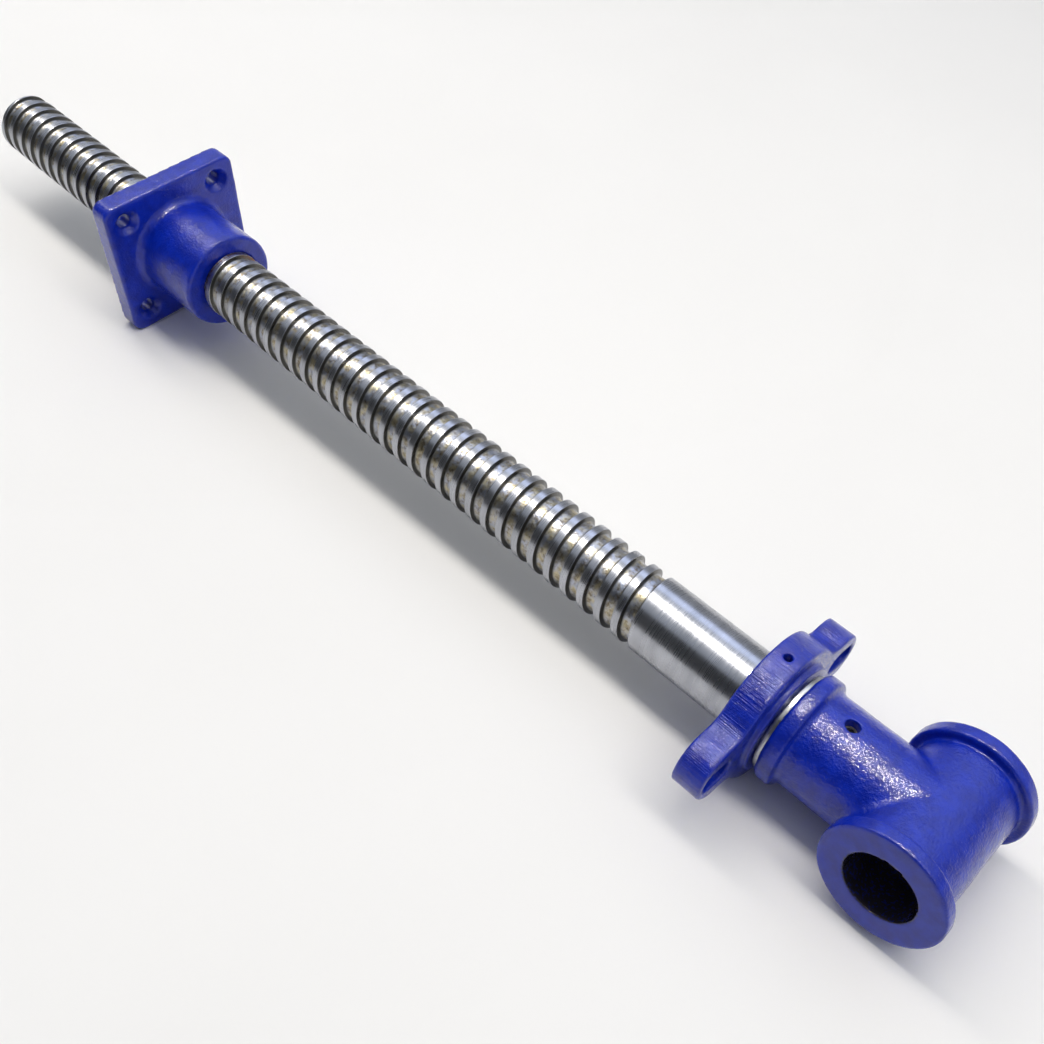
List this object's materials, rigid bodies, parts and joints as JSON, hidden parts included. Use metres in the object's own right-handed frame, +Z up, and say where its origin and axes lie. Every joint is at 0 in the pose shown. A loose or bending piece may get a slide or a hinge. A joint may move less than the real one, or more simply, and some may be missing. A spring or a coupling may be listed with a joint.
{
  "type": "vise screw with flanged nut",
  "caption": "Trapezoidal vise screw turning in a slotted bearing flange, with a cross-bored head and a square flanged nut that travels along the thread.",
  "frame": {"origin": "on the screw's axis at the back (mounting) face of the bearing flange", "axes": "+X along the screw towards the head, +Y along the bearing flange's long axis, +Z up"},
  "size_m": [0.5395, 0.085, 0.0688],
  "materials": {
    "turned_steel": "turned, lightly oiled",
    "blue_enamel": "glossy blue enamel over a cast surface",
    "washer_steel": "bright",
    "pin_steel": "dark, oiled"
  },
  "bodies": {
    "bearing": {"bearing_flange": "blue_enamel", "retaining_pin": "pin_steel"},
    "screw": {"spindle": "turned_steel", "head": "blue_enamel", "head_pin": "pin_steel"},
    "washer": {"thrust_washer": "washer_steel"},
    "nut": {"nut_flange": "blue_enamel"}
  },
  "joints": [
    {"name": "screw_spin", "type": "hinge", "parent": "bearing", "child": "screw", "pos_m": [0, 0, 0], "axis": [1, 0, 0], "range_deg": [-10575, 5310]},
    {"name": "nut_travel", "type": "slide", "parent": "bearing", "child": "nut", "axis": [1, 0, 0], "range_m": [-0.1181, 0.2351]},
    {"name": "washer_spin", "type": "hinge", "parent": "bearing", "child": "washer", "pos_m": [0.0138, 0, 0], "axis": [1, 0, 0], "continuous": true}
  ],
  "couplings": [
    {"joint": "nut_travel", "follows": "screw_spin", "m_per_rad": -0.0012732}
  ]
}
